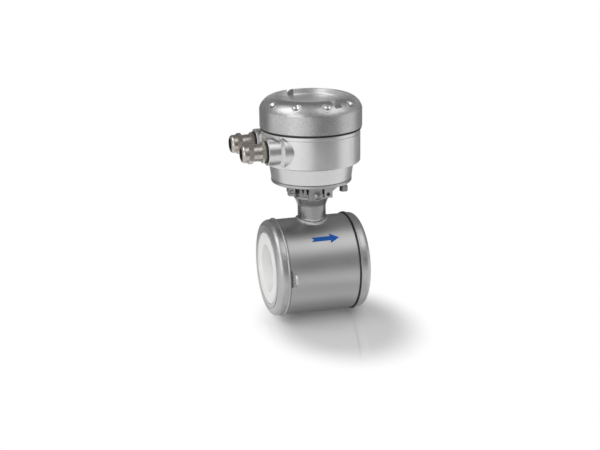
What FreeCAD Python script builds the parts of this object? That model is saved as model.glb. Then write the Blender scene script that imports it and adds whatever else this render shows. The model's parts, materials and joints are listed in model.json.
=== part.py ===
# Wafer type electromagnetic flow sensor with a round connection box.
# Frame: origin in the middle of the measuring tube on the pipe axis, +X along the flow,
# +Z up the neck to the connection box. Millimetres.
import FreeCAD
import Part
import math
import os

V = FreeCAD.Vector

# ---------------------------------------------------------------- driving dimensions
# Measuring section, clamped between two DN 50 pipe flanges
FACE_TO_FACE = 103.0        # insertion length
BORE_D = 51.0               # free bore of the ceramic tube
TUBE_WALL = 6.5             # ceramic wall between the two end flanges
TUBE_FLANGE_RISE = 6.95     # step from the wall up to the sealing face's rim
TUBE_FLANGE_T = 9.0         # axial length of each ceramic end flange
SHELL_R = 52.05             # welded outer tube
SHELL_WALL = 2.05
RING_W = 12.3               # end ring, face to lip
RING_RISE = 0.35            # end ring above the outer tube
RING_LIP_RISE = 1.65
RING_LIP_W = 1.8
RING_FACE_W = 4.45          # flat annulus around the ceramic
RING_GROOVE_W = 0.9
RING_GROOVE_D = 0.8
RING_NOSE = 6.0             # axial length of the rounded nose
JOINT_SEAL_W = 0.8          # dark ring between outer tube and lip
JOINT_SEAL_SINK = 0.2       # below the top of the lip
RING_SPIGOT_L = 5.0         # reach of the ring inside the outer tube
RING_SPIGOT_T = 2.4
RING_WEB_T = 3.2            # web that carries the ceramic flange
SEAL_T = 1.1                # flat seal behind the ceramic flange
WELD_GAP = 0.05             # radial play of pieces pushed in before welding
LOOSE_GAP = 0.3             # play between pieces that only pass each other

# Field system inside the outer tube
YOKE_T = 2.5
YOKE_L = 48.0
POLE_SHOE_T = 2.8
POLE_SHOE_L = 44.0
POLE_SHOE_ANGLE = 80.0      # arc of the ceramic covered by one shoe
POLE_CORE_R = 8.0
COIL_R = 20.0
COIL_GAP = 0.6              # room between coil and yoke
ELECTRODE_R = 2.0
ELECTRODE_HEAD_R = 3.6
ELECTRODE_HEAD_H = 2.0
ELECTRODE_STUD_R = 1.5
ELECTRODE_STUD_L = 4.0
LEAD_R = 2.0                # bundle of coil and electrode leads
LEAD_X = 10.3

# Neck
NECK_R = 15.2
NECK_BORE_R = 12.5
NECK_TOP = 68.0             # joint between neck tube and neck flange
WELD_R = 2.5                # bead around the foot of the neck
POTTING_T = 9.0
FLANGE_FOOT_R = 15.7
FLANGE_CONE_R = 18.8
FLANGE_CONE_H = 9.0
FLANGE_DISC_R = 19.6
FLANGE_DISC_T = 2.6
FLANGE_HUB_R = 18.0
SPIGOT_T = 2.7              # wall of the box spigot in the neck flange
CLAMP_T = 3.0
CLAMP_EAR_L = 5.4
CLAMP_SCREW_R = 1.6
CLAMP_HEAD_R = 3.0
CLAMP_HEAD_H = 3.2
CLAMP_SOCKET_R = 1.5
CLAMP_SOCKET_D = 1.8
CLAMP_EAR_W = 10.0
CLAMP_SPLIT = 2.4
CLAMP_H = 8.0

# Connection box
PLATE_Z = 94.6              # underside of the round base plate
PLATE_T = 3.6
BOX_STEP_Z = 117.0          # underside step between band and main drum
BOX_R = 52.5
BOX_BAND_IN = 7.2           # narrow band below the drum, from the drum's wall
BOX_FOOT_IN = 9.5
PLATE_IN = 9.3
BOX_TOP = 152.7             # shoulder under the lid seal
BOX_LEDGE_RISE = 2.0        # ledge for the terminal board, above the step
BOX_FLOOR_T = 4.0
COLLAR_IN = 3.5             # screwed collar for the lid, thread left plain
COLLAR_H = 12.9
COLLAR_WALL = 4.5
BOX_LEDGE_W = 6.0           # ledge that carries the terminal board
LEAD_HOLE_R = 14.0

# Screw lid
LID_OVERHANG = 1.9          # lid beyond the drum
LID_TOP = 187.0
LID_SHOULDER_R = 17.5
LID_CREASE_ANGLE = 15.0     # the shoulder arc meets the straight side at this slope
LID_GAP = 1.5               # visible seal height between box and lid
LID_THREAD_PLAY = 0.08
LID_WALL = 8.0              # from the outside to the hollow above the thread
RECESS_IN = 16.2            # recess wall from the outside of the lid
RECESS_DEPTH = 6.2
LID_FLOOR_T = 3.6
DIMPLE_COUNT = 10
DIMPLE_FIRST = -87.5
DIMPLE_R = 4.2
DIMPLE_DEPTH = 1.7
DIMPLE_RIM_R = 5.2          # shallow outer dish around each dimple
DIMPLE_RIM_DEPTH = 0.6
DIMPLE_ANGLE = 42.0         # place on the shoulder arc, from its upper end
WRENCH_SLOT_W = 8.0
WRENCH_SLOT_IN = 3.6        # outer end of the slot, from the outside of the lid
WRENCH_SLOT_ANGLE = -72.0
LID_SEAL_STANDOUT = 0.2     # seal beyond the drum

# Cable glands, axes along -X
GLAND_Y = 24.0
BOSS_R = 14.4
BOSS_STANDOUT = 3.5         # boss face beyond the drum
BOSS_STRAIGHT = 12.8        # from the boss face to the hub
HUB_R = 18.6                # round hub at the root of the boss
HUB_SLOPE_L = 2.9           # axial length of the hub's sloped face
GLAND_THREAD_R = 8.0
GLAND_THREAD_L = 10.5
GLAND_WASHER_R = 11.5
GLAND_WASHER_T = 1.7
GLAND_COLLAR_AF = 20.0
GLAND_COLLAR_L = 3.5
GLAND_BODY_R = 9.1
GLAND_BODY_L = 5.5
GLAND_NECK_R = 7.7          # carries the nut thread, left plain
GLAND_NECK_L = 8.4
GLAND_BORE_R = 5.6
NUT_AF = 19.6
NUT_SKIRT_R = 8.9
NUT_SKIRT_L = 4.1
NUT_HEX_L = 5.0
NUT_DOME_L = 7.0
NUT_HOLE_R = 6.2
CAGE_T = 0.8
INSERT_HOLE_R = 4.0
THREAD_PLAY = 0.06
SLIDE_PLAY = 0.1

# Terminal board inside the box
BOARD_GAP = 0.3             # board inside the cavity wall
BOARD_T = 1.6
BOARD_SCREW_R = 1.5
BOARD_SCREW_L = 5.5
BOARD_SCREW_ANGLES = (60, 180, 300)
BOARD_SCREW_HEAD_R = 2.4
BOARD_SCREW_HEAD_H = 1.6
DRIVER_SLOT_W = 0.6
DRIVER_SLOT_D = 0.6
BLOCK_L = 40.0
BLOCK_W = 12.0
BLOCK_H = 14.0
BLOCK_BEVEL = 4.0
BLOCK_Y = 15.0
BLOCK_X = 8.0
POLES = 6
POLE_SCREW_R = 1.9
POLE_SCREW_H = 3.2
POLE_SCREW_SINK = 5.0
POLE_SCREW_INSET = 1.4      # from the middle of the row towards the board's centre
WIRE_HOLE_W = 4.2
WIRE_HOLE_H = 4.6
WIRE_HOLE_D = 5.0
WIRE_HOLE_Z = 1.4
LEAD_PLUG_L = 11.0
LEAD_PLUG_W = 9.0
LEAD_PLUG_H = 7.5
EARTH_POST_X = -33.0
EARTH_POST_W = 7.0
EARTH_POST_H = 5.0
EARTH_POST_HEAD_R = 3.2
EARTH_POST_HEAD_H = 2.4

# Small parts under the base plate
LUG_T = 2.0                 # bonding lug behind the inlet ring
LUG_HOLE_R = 2.8
LUG_REACH = 16.45           # from the outer tube to the lug's tip
LUG_HOLE_REACH = 8.95
LUG_CORNER = 3.0
LUG_LOW = -7.5
LUG_HIGH = 12.0
LUG_TIP_LOW = -1.0
LUG_TIP_HIGH = 11.3
LUG_HOLE_Z = 4.6
EARTH_PLATE_T = 1.5
EARTH_PLATE_Y = -22.5
EARTH_PLATE_X0 = -11.4
EARTH_PLATE_X1 = 4.7
EARTH_PLATE_H = 16.6
EARTH_RIB_W = 4.2           # folded edge, wider at its foot
EARTH_RIB_TOP_W = 2.2
EARTH_RIB_T = 1.6
EARTH_SCREW_X = -0.1
EARTH_SCREW_DROP = 12.0     # below the base plate
EARTH_SCREW_R = 1.9
EARTH_HEAD_R = 4.1
EARTH_HEAD_H = 2.2
EARTH_WASHER_T = 0.8
EARTH_WASHER_RIM = 0.8
EARTH_NUT_R = 3.4
EARTH_NUT_T = 1.0
CROSS_W = 1.1
CROSS_L = 4.6
CROSS_D = 1.3
LEFT_LUG_X = -30.6          # cast lugs under the base plate
LEFT_LUG_Y = -20.5
LEFT_LUG_W = 6.4
LEFT_LUG_D = 7.5
LEFT_LUG_H = 10.6
LUG_SCREW_R = 1.55
LUG_SCREW_L = 6.5
LUG_SCREW_DROP = 7.0
LUG_SCREW_HEAD_R = 2.8
LUG_SCREW_HEAD_H = 1.6
DRILLED_LUG_X = 7.2
DRILLED_LUG_Y = -24.0
DRILLED_LUG_W = 9.0
DRILLED_LUG_D = 4.2
DRILLED_LUG_H = 15.0
SEAL_HOLE_R = 2.1
SEAL_HOLE_DROP = 10.9
LEDGE_W = 8.4
LEDGE_D = 5.5
LEDGE_H = 8.0
LEDGE_TIP_H = 2.0
FORK_X = -20.6
FORK_Y = -22.6
FORK_W = 9.0
FORK_T = 1.6
FORK_H = 12.0
FORK_PRONG_W = 1.8
FORK_PRONG_H = 8.0          # tapered part of each prong
PLUG_X = 29.9
PLUG_Y = -19.5
PLUG_AF = 8.0
PLUG_HEAD_H = 5.6
PLUG_H = 9.8
PLUG_NECK_R = 3.4

# ---------------------------------------------------------------- derived sizes
HALF = FACE_TO_FACE / 2
BORE_R = BORE_D / 2
TUBE_MID_R = BORE_R + TUBE_WALL
TUBE_FACE_R = TUBE_MID_R + TUBE_FLANGE_RISE
RING_FACE_R = TUBE_FACE_R + RING_FACE_W
RING_R = SHELL_R + RING_RISE
RING_LIP_R = SHELL_R + RING_LIP_RISE
SHELL_IN_R = SHELL_R - SHELL_WALL
SHELL_HALF = HALF - RING_W
TUBE_FLANGE_X = HALF - TUBE_FLANGE_T
WEB_X = TUBE_FLANGE_X - SEAL_T
YOKE_OUT_R = SHELL_IN_R - WELD_GAP
YOKE_IN_R = YOKE_OUT_R - YOKE_T
SHOE_IN_R = TUBE_MID_R + WELD_GAP
SHOE_OUT_R = SHOE_IN_R + POLE_SHOE_T
COIL_Z = SHOE_OUT_R
COIL_TOP = math.sqrt(YOKE_IN_R ** 2 - COIL_R ** 2) - COIL_GAP
FLANGE_DISC_Z = NECK_TOP + FLANGE_CONE_H
FLANGE_HUB_Z = FLANGE_DISC_Z + FLANGE_DISC_T
CLAMP_Z = FLANGE_HUB_Z + (PLATE_Z - FLANGE_HUB_Z - CLAMP_H) / 2
CLAMP_TOP = CLAMP_Z + CLAMP_H
CLAMP_SCREW_X = -FLANGE_HUB_R - WELD_GAP - CLAMP_T - CLAMP_EAR_L / 2
CLAMP_SCREW_Z = CLAMP_Z + CLAMP_H / 2
PLATE_TOP = PLATE_Z + PLATE_T
BOX_FLOOR_Z = PLATE_TOP + BOX_FLOOR_T
COLLAR_TOP = BOX_TOP + COLLAR_H
PLATE_R = BOX_R - PLATE_IN
BOX_FOOT_R = BOX_R - BOX_FOOT_IN
BOX_BAND_R = BOX_R - BOX_BAND_IN
COLLAR_R = BOX_R - COLLAR_IN
BOX_CAVITY_R = COLLAR_R - COLLAR_WALL
BOX_WELL_R = BOX_CAVITY_R - BOX_LEDGE_W
SEAL_OUT_R = BOX_R + LID_SEAL_STANDOUT
LID_BOTTOM = BOX_TOP + LID_GAP
EARTH_SCREW_Z = PLATE_Z - EARTH_SCREW_DROP
EARTH_SEAT = EARTH_PLATE_Y - EARTH_PLATE_T
LUG_SCREW_X = LEFT_LUG_X + LEFT_LUG_W / 2
LUG_SCREW_Z = PLATE_Z - LUG_SCREW_DROP
LID_THREAD_R = COLLAR_R + LID_THREAD_PLAY
LID_R = BOX_R + LID_OVERHANG
LID_CAVITY_R = LID_R - LID_WALL
RECESS_R = LID_R - RECESS_IN
WRENCH_SLOT_END = LID_R - WRENCH_SLOT_IN
RECESS_Z = LID_TOP - RECESS_DEPTH
LID_ROOF_Z = RECESS_Z - LID_FLOOR_T
CREASE_TURN = math.radians(LID_CREASE_ANGLE)
CREST_R = LID_R - LID_SHOULDER_R * math.cos(CREASE_TURN)
SHOULDER_Z = LID_TOP - LID_SHOULDER_R
CREASE_Z = SHOULDER_Z + LID_SHOULDER_R * math.sin(CREASE_TURN)
BOX_LEDGE_Z = BOX_STEP_Z + BOX_LEDGE_RISE
BOARD_TOP = BOX_LEDGE_Z + BOARD_T
BOARD_R = BOX_CAVITY_R - BOARD_GAP
BOARD_SCREW_RING = (BOX_CAVITY_R + BOX_WELL_R) / 2 - BOARD_GAP
LUG_TIP = SHELL_R + LUG_REACH
LUG_HOLE_AT = SHELL_R + LUG_HOLE_REACH
BOSS_FACE_X = -BOX_R - BOSS_STANDOUT
GLAND_Z = (BOX_STEP_Z + BOX_TOP) / 2
WASHER_X = BOSS_FACE_X - GLAND_WASHER_T
COLLAR_X = WASHER_X - GLAND_COLLAR_L
GBODY_X = COLLAR_X - GLAND_BODY_L
SKIRT_X = GBODY_X - NUT_SKIRT_L
HEX_X = SKIRT_X - NUT_HEX_L
DOME_X = HEX_X - NUT_DOME_L
GNECK_X = GBODY_X - GLAND_NECK_L


# ---------------------------------------------------------------- helpers
def path_face(points, to_vector):
    """Closed face through points; a point with four values ends an arc through its last two."""
    edges = []
    last = points[0]
    for point in points[1:] + points[:1]:
        start = to_vector(last[0], last[1])
        end = to_vector(point[0], point[1])
        if len(point) == 4:
            edges.append(Part.Arc(start, to_vector(point[2], point[3]), end).toShape())
        elif start.distanceToPoint(end) > 1e-6:
            edges.append(Part.makeLine(start, end))
        last = point
    return Part.Face(Part.Wire(edges))


def turned_x(points):
    """Solid turned about the X axis from (x, radius) points."""
    face = path_face(points, lambda x, r: V(x, 0, r))
    return face.revolve(V(0, 0, 0), V(1, 0, 0), 360)


def turned_z(points):
    """Solid turned about the Z axis from (radius, z) points."""
    face = path_face(points, lambda r, z: V(r, 0, z))
    return face.revolve(V(0, 0, 0), V(0, 0, 1), 360)


def rod_x(x0, x1, radius, y=0.0, z=0.0):
    return Part.makeCylinder(radius, x1 - x0, V(x0, y, z), V(1, 0, 0))


def rod_y(y0, y1, radius, x=0.0, z=0.0):
    return Part.makeCylinder(radius, y1 - y0, V(x, y0, z), V(0, 1, 0))


def rod_z(z0, z1, radius, x=0.0, y=0.0):
    return Part.makeCylinder(radius, z1 - z0, V(x, y, z0), V(0, 0, 1))


def block(x0, x1, y0, y1, z0, z1):
    return Part.makeBox(x1 - x0, y1 - y0, z1 - z0, V(x0, y0, z0))


def plate_xz(points, y0, y1):
    """Flat plate between y0 and y1 from (x, z) points."""
    face = path_face(points, lambda x, z: V(x, y0, z))
    return face.extrude(V(0, y1 - y0, 0))


def hexagon_x(x0, x1, across_flats):
    """Hexagonal prism on the X axis with two corners up and down and bevelled corners."""
    corner = across_flats / math.sqrt(3)
    points = []
    for i in range(6):
        angle = math.radians(60 * i + 90)
        points.append(V(x0, corner * math.cos(angle), corner * math.sin(angle)))
    prism = Part.Face(Part.makePolygon(points + points[:1])).extrude(V(x1 - x0, 0, 0))
    flat = across_flats / 2
    drop = (corner - flat) * 0.6
    lathe = turned_x([
        (x0, 0), (x0, corner - drop), (x0 + drop, corner + 0.01),
        (x1 - drop, corner + 0.01), (x1, corner - drop), (x1, 0),
    ])
    return prism.common(lathe)


def hexagon_z(z0, z1, across_flats, x, y):
    corner = across_flats / math.sqrt(3)
    points = []
    for i in range(6):
        angle = math.radians(60 * i)
        points.append(V(x + corner * math.cos(angle), y + corner * math.sin(angle), z0))
    return Part.Face(Part.makePolygon(points + points[:1])).extrude(V(0, 0, z1 - z0))


def moved(shape, x=0.0, y=0.0, z=0.0):
    result = shape.copy()
    result.translate(V(x, y, z))
    return result


def turned_about_z(shape, degrees):
    result = shape.copy()
    result.rotate(V(0, 0, 0), V(0, 0, 1), degrees)
    return result


def mirrored_x(shape):
    return shape.mirror(V(0, 0, 0), V(1, 0, 0))


def mirrored_y(shape):
    return shape.mirror(V(0, 0, 0), V(0, 1, 0))


def mirrored_z(shape):
    return shape.mirror(V(0, 0, 0), V(0, 0, 1))


# ---------------------------------------------------------------- measuring section
def measuring_tube():
    """Ceramic tube with a thicker flange at each end and two electrode holes."""
    round_edge = 1.2
    tube = turned_x([
        (-HALF + round_edge, BORE_R),
        (-HALF, BORE_R + round_edge, -HALF + 0.35, BORE_R + 0.35),
        (-HALF, TUBE_FACE_R - 0.5),
        (-HALF + 0.5, TUBE_FACE_R),
        (-TUBE_FLANGE_X, TUBE_FACE_R),
        (-TUBE_FLANGE_X, TUBE_MID_R),
        (TUBE_FLANGE_X, TUBE_MID_R),
        (TUBE_FLANGE_X, TUBE_FACE_R),
        (HALF - 0.5, TUBE_FACE_R),
        (HALF, TUBE_FACE_R - 0.5),
        (HALF, BORE_R + round_edge),
        (HALF - round_edge, BORE_R, HALF - 0.35, BORE_R + 0.35),
    ])
    holes = rod_y(-HALF, HALF, ELECTRODE_R + 0.02)
    seats = rod_y(-HALF, HALF, ELECTRODE_HEAD_R + LOOSE_GAP)
    seats = seats.cut(rod_y(1 - TUBE_MID_R, TUBE_MID_R - 1, ELECTRODE_HEAD_R + 1))
    return tube.cut(holes).cut(seats)


def electrode_front():
    """Pin flush with the bore, its head seated on the ceramic, and a contact stud."""
    seat = TUBE_MID_R - 1
    head_end = seat + ELECTRODE_HEAD_H
    pin = rod_y(-seat, -BORE_R + 2, ELECTRODE_R)
    head = rod_y(-head_end, -seat, ELECTRODE_HEAD_R)
    stud = rod_y(-head_end - ELECTRODE_STUD_L, -head_end, ELECTRODE_STUD_R)
    body = pin.fuse(head).fuse(stud)
    return body.cut(rod_x(-HALF, HALF, BORE_R))


def electrode_back():
    return mirrored_y(electrode_front())


def tube_seal_inlet():
    """Flat seal between the ceramic flange and the web of the end ring."""
    outer = rod_x(-TUBE_FLANGE_X, -WEB_X, TUBE_FACE_R - LOOSE_GAP)
    return outer.cut(rod_x(-TUBE_FLANGE_X, -WEB_X, TUBE_MID_R + LOOSE_GAP))


def tube_seal_outlet():
    return mirrored_x(tube_seal_inlet())


def end_ring_inlet():
    """Steel end ring with a rounded nose, a face groove and a raised lip at the weld."""
    face = -HALF
    groove_in = RING_FACE_R + 0.15
    groove_out = groove_in + RING_GROOVE_W
    nose_mid_r = groove_out + (RING_R - groove_out) * 0.74
    spigot_r = SHELL_IN_R - WELD_GAP
    return turned_x([
        (face, TUBE_FACE_R + LOOSE_GAP / 2),
        (face, RING_FACE_R),
        (face + RING_GROOVE_D, groove_in),
        (face + RING_GROOVE_D, groove_out),
        (face + 0.25, groove_out + 0.1),
        (face + RING_NOSE, RING_R, face + RING_NOSE * 0.30, nose_mid_r),
        (-SHELL_HALF - RING_LIP_W - 0.5, RING_R),
        (-SHELL_HALF - RING_LIP_W, RING_LIP_R - 0.4),
        (-SHELL_HALF - RING_LIP_W + 0.5, RING_LIP_R),
        (-SHELL_HALF - 0.4, RING_LIP_R),
        (-SHELL_HALF, RING_LIP_R - 0.5),
        (-SHELL_HALF, spigot_r),
        (-SHELL_HALF + RING_SPIGOT_L, spigot_r),
        (-SHELL_HALF + RING_SPIGOT_L, spigot_r - RING_SPIGOT_T),
        (-WEB_X + RING_WEB_T, spigot_r - RING_SPIGOT_T),
        (-WEB_X + RING_WEB_T, TUBE_MID_R + LOOSE_GAP),
        (-WEB_X, TUBE_MID_R + LOOSE_GAP),
        (-WEB_X, TUBE_FACE_R + LOOSE_GAP / 2),
    ])


def end_ring_outlet():
    return mirrored_x(end_ring_inlet())


def ring_joint_seal_inlet():
    """Dark sealing ring around the joint between outer tube and lip."""
    top = RING_LIP_R - 0.4 - JOINT_SEAL_SINK
    return turned_x([
        (-SHELL_HALF, SHELL_R), (-SHELL_HALF, top),
        (-SHELL_HALF + JOINT_SEAL_W * 0.7, top), (-SHELL_HALF + JOINT_SEAL_W, top - 0.3),
        (-SHELL_HALF + JOINT_SEAL_W, SHELL_R),
    ])


def ring_joint_seal_outlet():
    return mirrored_x(ring_joint_seal_inlet())


def sensor_shell():
    """Outer tube of the measuring section, open at the top under the neck."""
    shell = rod_x(-SHELL_HALF, SHELL_HALF, SHELL_R)
    shell = shell.cut(rod_x(-SHELL_HALF, SHELL_HALF, SHELL_IN_R))
    return shell.cut(rod_z(0, SHELL_R + 5, NECK_BORE_R))


def yoke_ring():
    """Soft iron return path, with a hole for the leads."""
    half = YOKE_L / 2
    ring = rod_x(-half, half, YOKE_OUT_R).cut(rod_x(-half, half, YOKE_IN_R))
    return ring.cut(rod_z(0, SHELL_R, LEAD_R + LOOSE_GAP, LEAD_X, 0))


def pole_upper():
    """Curved pole shoe on the ceramic with the round coil core on top."""
    half = POLE_SHOE_L / 2
    shoe = rod_x(-half, half, SHOE_OUT_R).cut(rod_x(-half, half, SHOE_IN_R))
    reach = SHOE_OUT_R + 5
    spread = reach * math.tan(math.radians(POLE_SHOE_ANGLE / 2))
    sector = Part.Face(Part.makePolygon([
        V(-half - 1, 0, 0), V(-half - 1, -spread, reach), V(-half - 1, spread, reach),
        V(-half - 1, 0, 0),
    ])).extrude(V(POLE_SHOE_L + 2, 0, 0))
    core = rod_z(SHOE_IN_R + 1, SHELL_R, POLE_CORE_R)
    core = core.common(rod_x(-half, half, YOKE_IN_R - 0.02))
    return shoe.common(sector).fuse(core)


def pole_lower():
    return mirrored_z(pole_upper())


def coil_upper():
    """Wound coil around the pole core."""
    coil = rod_z(COIL_Z, COIL_TOP, COIL_R)
    return coil.cut(rod_z(COIL_Z, COIL_TOP, POLE_CORE_R + LOOSE_GAP))


def coil_lower():
    return mirrored_z(coil_upper())


# ---------------------------------------------------------------- neck
def weld_bead():
    """Rounded bead that follows the shell around the foot of the neck."""
    reach = NECK_R + 2 * WELD_R
    drum = rod_x(-reach, reach, SHELL_R + WELD_R)
    drum.rotate(V(0, 0, 0), V(1, 0, 0), 180)
    pad = rod_z(SHELL_R - 22, SHELL_R + 12, NECK_R + WELD_R).common(drum)
    crown = [edge for edge in pad.Edges if edge.BoundBox.ZMin > SHELL_R - 6]
    return pad.makeFillet(WELD_R * 0.65, crown)


def neck_tube():
    """Neck tube standing on the shell, with its weld bead and the bead's overlap."""
    tube = rod_z(SHELL_R - 12, NECK_TOP, NECK_R)
    slip = math.radians(-62)
    y = NECK_R * math.sin(slip)
    overlap = Part.makeSphere(WELD_R * 1.2, V(NECK_R * math.cos(slip), y, math.sqrt(SHELL_R ** 2 - y ** 2)))
    neck = tube.fuse([weld_bead(), overlap])
    neck = neck.cut(rod_x(-SHELL_HALF, SHELL_HALF, SHELL_R))
    return neck.cut(rod_z(0, NECK_TOP + 1, NECK_BORE_R))


def neck_potting():
    """Cast plug that seals the neck around the leads."""
    top = NECK_TOP - 1
    plug = rod_z(top - POTTING_T, top, NECK_BORE_R)
    return plug.cut(rod_z(0, NECK_TOP, LEAD_R + 0.02, LEAD_X, 0))


def neck_flange():
    """Cone, disc and hub on top of the neck tube, with the socket for the box spigot."""
    return turned_z([
        (NECK_BORE_R, NECK_TOP),
        (FLANGE_FOOT_R - 0.4, NECK_TOP),
        (FLANGE_FOOT_R, NECK_TOP + 0.5),
        (FLANGE_FOOT_R, NECK_TOP + 1.2),
        (FLANGE_CONE_R, FLANGE_DISC_Z - 0.8),
        (FLANGE_DISC_R, FLANGE_DISC_Z),
        (FLANGE_DISC_R, FLANGE_HUB_Z),
        (FLANGE_HUB_R, FLANGE_HUB_Z),
        (FLANGE_HUB_R, PLATE_Z),
        (NECK_BORE_R + SPIGOT_T + WELD_GAP, PLATE_Z),
        (NECK_BORE_R + SPIGOT_T + WELD_GAP, FLANGE_HUB_Z),
        (NECK_BORE_R, FLANGE_HUB_Z),
    ])


def lead_bundle():
    """Leads from the coils and electrodes up to the plug on the terminal board."""
    return rod_z(COIL_TOP, BOARD_TOP, LEAD_R, LEAD_X, 0)


def bonding_lug():
    """Equipotential bonding lug welded to the shell behind the inlet ring."""
    x0 = -SHELL_HALF + JOINT_SEAL_W + LOOSE_GAP
    root = -SHELL_R * 0.97
    outline = [
        (root, LUG_LOW), (LUG_CORNER - LUG_TIP, LUG_TIP_LOW), (-LUG_TIP, LUG_TIP_LOW + LUG_CORNER),
        (-LUG_TIP, LUG_TIP_HIGH - LUG_CORNER), (LUG_CORNER - LUG_TIP, LUG_TIP_HIGH), (root, LUG_HIGH),
    ]
    lug = path_face(outline, lambda y, z: V(x0, y, z)).extrude(V(LUG_T, 0, 0))
    lug = lug.cut(rod_x(x0, x0 + LUG_T, LUG_HOLE_R, -LUG_HOLE_AT, LUG_HOLE_Z))
    return lug.cut(rod_x(-SHELL_HALF, SHELL_HALF, SHELL_R))


# ---------------------------------------------------------------- connection box
def base_plate():
    """Round plate under the box with its spigot and three cast lugs."""
    bottom_round = PLATE_T * 0.45
    bevel = PLATE_T * 0.08
    plate = turned_z([
        (NECK_BORE_R, PLATE_Z),
        (PLATE_R - bottom_round, PLATE_Z),
        (PLATE_R, PLATE_Z + bottom_round, PLATE_R - bottom_round * 0.29, PLATE_Z + bottom_round * 0.29),
        (PLATE_R, PLATE_TOP - bevel),
        (PLATE_R - bevel, PLATE_TOP),
        (NECK_BORE_R, PLATE_TOP),
    ])
    top = PLATE_Z + PLATE_T / 2
    spigot = rod_z(FLANGE_HUB_Z, top, NECK_BORE_R + SPIGOT_T)
    left = block(LEFT_LUG_X, LEFT_LUG_X + LEFT_LUG_W, LEFT_LUG_Y, LEFT_LUG_Y + LEFT_LUG_D,
                 PLATE_Z - LEFT_LUG_H, top)
    right = DRILLED_LUG_X + DRILLED_LUG_W
    drilled = block(DRILLED_LUG_X, right, DRILLED_LUG_Y, DRILLED_LUG_Y + DRILLED_LUG_D,
                    PLATE_Z - DRILLED_LUG_H, top)
    tip = right + LEDGE_W
    ledge = plate_xz([
        (right, PLATE_Z - LEDGE_H), (tip, PLATE_Z - LEDGE_TIP_H), (tip, top), (right, top),
    ], DRILLED_LUG_Y, DRILLED_LUG_Y + LEDGE_D)
    middle = DRILLED_LUG_X + DRILLED_LUG_W * 0.47
    seal_hole = rod_y(DRILLED_LUG_Y, DRILLED_LUG_Y + DRILLED_LUG_D, SEAL_HOLE_R,
                      middle, PLATE_Z - SEAL_HOLE_DROP)
    screw_hole = rod_y(LEFT_LUG_Y, LEFT_LUG_Y + LEFT_LUG_D, LUG_SCREW_R + WELD_GAP,
                       LUG_SCREW_X, LUG_SCREW_Z)
    plate = plate.fuse([spigot, left, drilled, ledge])
    return plate.cut([rod_z(FLANGE_HUB_Z, PLATE_TOP, NECK_BORE_R), seal_hole, screw_hole])


def clamp_ring():
    """Split clamp around the neck flange hub that grips the spigot of the box."""
    inner = FLANGE_HUB_R + WELD_GAP
    outer = inner + CLAMP_T
    half = CLAMP_EAR_W / 2
    ring = rod_z(CLAMP_Z, CLAMP_TOP, outer)
    ears = block(-outer - CLAMP_EAR_L, 0, -half, half, CLAMP_Z, CLAMP_TOP)
    ring = ring.fuse(ears).cut(rod_z(CLAMP_Z, CLAMP_TOP, inner))
    split = CLAMP_SPLIT / 2
    ring = ring.cut(block(-outer - CLAMP_EAR_L, -inner / 2, -split, split, CLAMP_Z, CLAMP_TOP))
    return ring.cut(rod_y(-half, half, CLAMP_SCREW_R + 2 * WELD_GAP, CLAMP_SCREW_X, CLAMP_SCREW_Z))


def clamp_screw():
    """Cap screw through the two ears of the clamp ring."""
    half = CLAMP_EAR_W / 2
    tip = -half - CLAMP_HEAD_H
    shank = rod_y(-half, half * 1.3, CLAMP_SCREW_R, CLAMP_SCREW_X, CLAMP_SCREW_Z)
    screw = shank.fuse(rod_y(tip, -half, CLAMP_HEAD_R, CLAMP_SCREW_X, CLAMP_SCREW_Z))
    return screw.cut(rod_y(tip, tip + CLAMP_SOCKET_D, CLAMP_SOCKET_R, CLAMP_SCREW_X, CLAMP_SCREW_Z))


def lug_screw():
    """Slotted set screw in the left lug of the base plate."""
    tip = LEFT_LUG_Y - LUG_SCREW_HEAD_H
    shank = rod_y(LEFT_LUG_Y, LEFT_LUG_Y + LUG_SCREW_L, LUG_SCREW_R, LUG_SCREW_X, LUG_SCREW_Z)
    head = rod_y(tip, LEFT_LUG_Y, LUG_SCREW_HEAD_R, LUG_SCREW_X, LUG_SCREW_Z)
    half = LUG_SCREW_HEAD_R / 8
    slot = block(LUG_SCREW_X - LUG_SCREW_HEAD_R, LUG_SCREW_X + LUG_SCREW_HEAD_R,
                 tip, tip + LUG_SCREW_HEAD_H / 2, LUG_SCREW_Z - half, LUG_SCREW_Z + half)
    return shank.fuse(head).cut(slot)


def fork_bracket():
    """Two-pronged bracket beside the earth plate."""
    foot = PLATE_Z - FORK_H
    bridge = foot + FORK_T / 2
    waist = bridge + FORK_PRONG_H
    lean = FORK_W / 2 - FORK_PRONG_W * 1.25
    x = FORK_X
    far = FORK_X + FORK_W
    middle = FORK_X + FORK_W / 2
    outline = [
        (x, foot), (far, foot), (far, bridge), (far - lean / 2, waist), (far - lean / 2, PLATE_Z),
        (far - lean / 2 - FORK_PRONG_W, PLATE_Z), (far - lean / 2 - FORK_PRONG_W, waist),
        (middle, bridge + FORK_T / 2), (x + lean / 2 + FORK_PRONG_W, waist),
        (x + lean / 2 + FORK_PRONG_W, PLATE_Z), (x + lean / 2, PLATE_Z), (x + lean / 2, waist),
        (x, bridge),
    ]
    return plate_xz(outline, FORK_Y, FORK_Y + FORK_T)


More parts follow.
